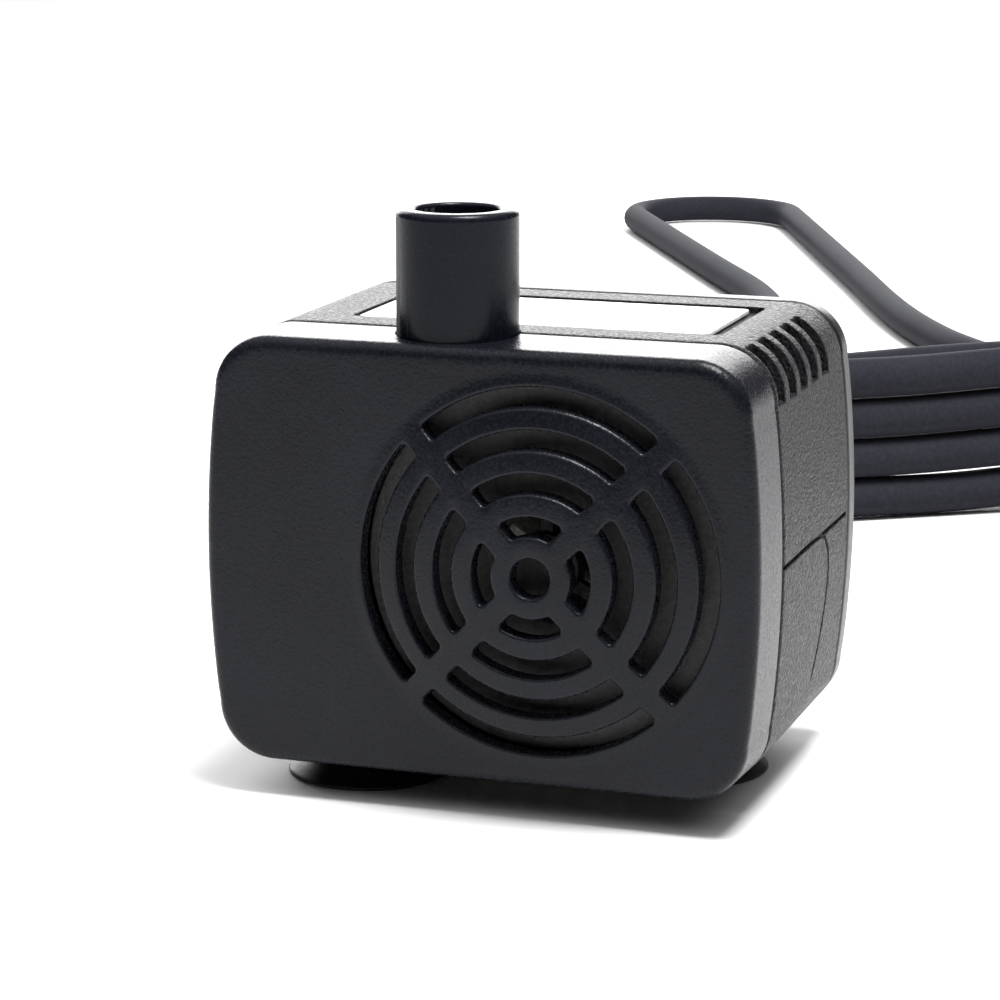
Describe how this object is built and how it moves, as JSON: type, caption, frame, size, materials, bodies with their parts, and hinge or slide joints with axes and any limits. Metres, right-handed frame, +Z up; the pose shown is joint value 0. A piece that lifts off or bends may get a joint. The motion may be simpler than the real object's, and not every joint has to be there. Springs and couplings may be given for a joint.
{
  "type": "fountain submersible pump",
  "caption": "Black box-shaped fountain pump on three suction cups, with a domed inlet grille, an upright round outlet, a magnet rotor in a sealed well and a tied mains lead.",
  "frame": {"origin": "centre of the pump's footprint, without the lead, at floor level where the suction cups stand", "axes": "+X to the right of the front face, +Y from the front grille to the rear cover, +Z up along the outlet"},
  "size_m": [0.1863, 0.487, 0.0635],
  "materials": {
    "shell_plastic": "moulded, fine texture",
    "cover_plastic": "moulded, satin",
    "black_rubber": "matt",
    "white_nylon": "moulded",
    "ferrite_magnet": "sintered, ground",
    "ceramic": "polished",
    "lamination_steel": "stamped, varnished",
    "copper_wire": "enamelled",
    "epoxy": "cast",
    "wire_insulation": "extruded",
    "blank_label": "satin film",
    "cord_pvc": "satin",
    "plug_brass": "bright"
  },
  "bodies": {
    "base": {"main_case": "shell_plastic", "motor_housing": "shell_plastic", "rear_cover": "shell_plastic", "volute_seal": "black_rubber", "bushing_rear": "black_rubber", "suction_cup_front_left": "black_rubber", "suction_cup_rear_left": "black_rubber", "suction_cup_right": "black_rubber", "cable_gland": "black_rubber", "hank_tie_front": "black_rubber", "hank_tie_rear": "black_rubber", "bobbin_upper": "white_nylon", "bobbin_lower": "white_nylon", "ceramic_shaft": "ceramic", "stator_core": "lamination_steel", "winding_upper": "copper_wire", "winding_lower": "copper_wire", "potting": "epoxy", "core_wire_a": "wire_insulation", "core_wire_b": "wire_insulation", "label_plate": "blank_label", "cord_lead": "cord_pvc", "cord_hank": "cord_pvc", "cord_loop": "cord_pvc", "plug_body": "cord_pvc", "plug_blade_a": "plug_brass", "plug_blade_b": "plug_brass"},
    "front_cover": {"front_cover": "cover_plastic"},
    "volute": {"volute_cover": "cover_plastic", "bushing_front": "black_rubber"},
    "rotor": {"impeller": "white_nylon", "rotor_magnet": "ferrite_magnet"}
  },
  "joints": [
    {"name": "rotor_spin", "type": "hinge", "parent": "base", "child": "rotor", "pos_m": [0.007, 0, 0.027], "axis": [0, 1, 0], "continuous": true},
    {"name": "volute_pull", "type": "slide", "parent": "base", "child": "volute", "axis": [0, -1, 0], "range_m": [0, 0.03]},
    {"name": "cover_pull", "type": "slide", "parent": "volute", "child": "front_cover", "axis": [0, -1, 0], "range_m": [0, 0.03]}
  ]
}
